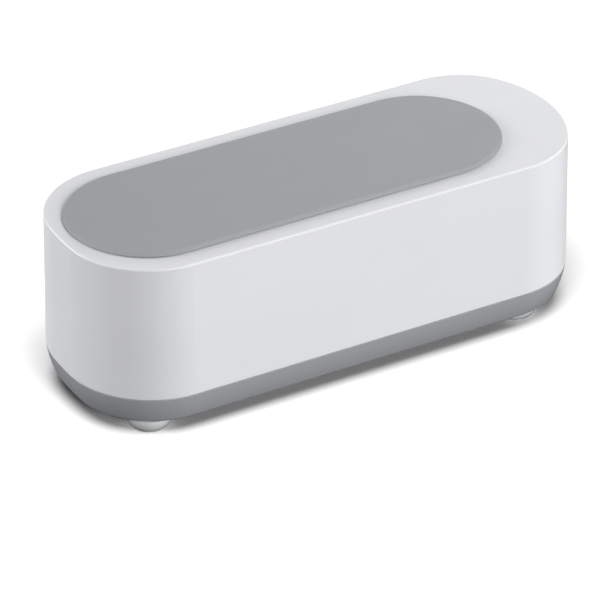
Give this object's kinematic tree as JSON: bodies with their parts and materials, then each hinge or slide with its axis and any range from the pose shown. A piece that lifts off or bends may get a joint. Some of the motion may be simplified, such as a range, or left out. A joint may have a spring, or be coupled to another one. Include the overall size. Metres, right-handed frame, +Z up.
{
  "type": "ultrasonic cleaner",
  "caption": "Long round-ended ultrasonic bath for small jewellery: white casing on a grey tray, stainless tank under a loose bevelled lid.",
  "frame": {"origin": "on the standing plane under the feet, below the middle of the body", "axes": "+X along the length towards the wide solid end with the button, +Y towards the rear, +Z up"},
  "size_m": [0.2, 0.0764, 0.07],
  "materials": {
    "casing_white": "satin moulded ABS, fine even texture",
    "tray_grey": "satin moulded ABS",
    "lid_grey": "satin moulded ABS",
    "liner_white": "plain moulded ABS",
    "stainless": "drawn stainless, polished lip",
    "silicone_grey": "silicone seal",
    "silicone_clear": "clear soft silicone",
    "plate_metal": "milled",
    "piezo_ceramic": "silvered ceramic",
    "board_green": "solder mask",
    "ferrite": "sintered ferrite",
    "copper_wire": "enamelled copper",
    "tape_yellow": "polyester tape",
    "can_aluminium": "drawn can with sleeve",
    "film_red": "moulded box",
    "chip_black": "moulded epoxy",
    "plug_nylon": "natural nylon",
    "cell_sleeve": "shrink sleeve",
    "cradle_black": "moulded plastic",
    "socket_steel": "stamped steel",
    "light_clear": "clear light pipe",
    "bezel_grey": "gloss ring",
    "button_grey": "satin cap",
    "screw_steel": "zinc-plated",
    "wire_red": "PVC insulation",
    "wire_black": "PVC insulation"
  },
  "bodies": {
    "housing": {"base_gasket": "silicone_grey", "base_screws": "screw_steel", "base_tray": "tray_grey", "battery_cell": "cell_sleeve", "battery_cradle": "cradle_black", "battery_leads": "wire_red", "bulk_capacitors": "can_aluminium", "button_bezel": "bezel_grey", "charge_socket": "socket_steel", "control_board": "board_green", "control_leads": "wire_black", "control_screws": "screw_steel", "driver_board": "board_green", "driver_connectors": "plug_nylon", "driver_screws": "screw_steel", "film_capacitor": "film_red", "foot_front_left": "silicone_clear", "foot_front_right": "silicone_clear", "foot_rear_left": "silicone_clear", "foot_rear_right": "silicone_clear", "heat_sink": "plate_metal", "inductor_core": "ferrite", "inductor_winding": "copper_wire", "piezo_disc": "piezo_ceramic", "power_transistor": "chip_black", "socket_tongue": "chip_black", "status_led": "plug_nylon", "status_lens": "light_clear", "tact_switch": "chip_black", "tank": "stainless", "tank_gasket": "silicone_grey", "transducer_leads": "wire_red", "transducer_plate": "plate_metal", "transformer_coil": "tape_yellow", "transformer_core": "ferrite", "upper_casing": "casing_white"},
    "lid": {"lid_plate": "lid_grey", "lid_liner": "liner_white", "lid_seal": "silicone_grey"},
    "button": {"power_button": "button_grey", "switch_actuator": "button_grey"}
  },
  "joints": [
    {"name": "lid_lift", "type": "slide", "parent": "housing", "child": "lid", "axis": [0, 0, 1], "range_m": [0, 0.1]},
    {"name": "button_press", "type": "slide", "parent": "housing", "child": "button", "axis": [-1, 0, 0], "range_m": [0, 0.0008], "stiffness_N_per_m": 900}
  ]
}
